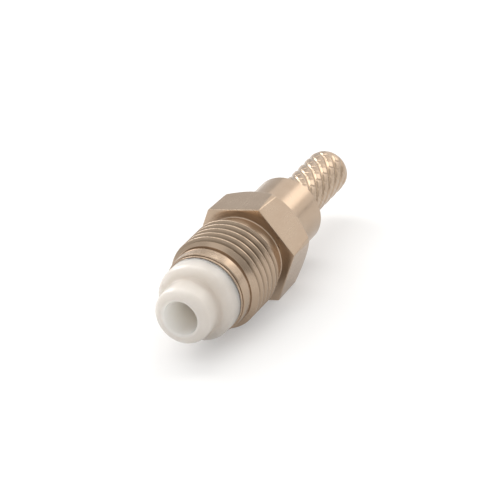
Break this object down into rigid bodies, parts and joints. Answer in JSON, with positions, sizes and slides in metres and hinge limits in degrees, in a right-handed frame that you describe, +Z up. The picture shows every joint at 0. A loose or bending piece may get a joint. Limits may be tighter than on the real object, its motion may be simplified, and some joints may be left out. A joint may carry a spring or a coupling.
{
  "type": "fme crimp plug",
  "caption": "Coaxial crimp plug: a threaded hex coupling nut spins on a turned body with a knurled crimp stem, a stepped insulator and a slotted socket contact.",
  "frame": {"origin": "on the plug's axis, at the floor of the insulator's pin entry, level with the front face of the body", "axes": "+X along the plug's axis towards the nose, +Z up, with one flat of the coupling nut facing down"},
  "size_m": [0.0276, 0.0092, 0.008],
  "materials": {
    "plated_nut": "nickel plated, turned",
    "plated_body": "nickel plated, turned",
    "insulator": "smooth, waxy",
    "contact": "gold plated"
  },
  "bodies": {
    "plug": {"body": "plated_body", "insulator": "insulator", "centre_contact": "contact"},
    "nut": {"coupling_nut": "plated_nut"}
  },
  "joints": [
    {"name": "nut_spin", "type": "hinge", "parent": "plug", "child": "nut", "pos_m": [-0.006, 0, 0], "axis": [1, 0, 0], "continuous": true}
  ]
}
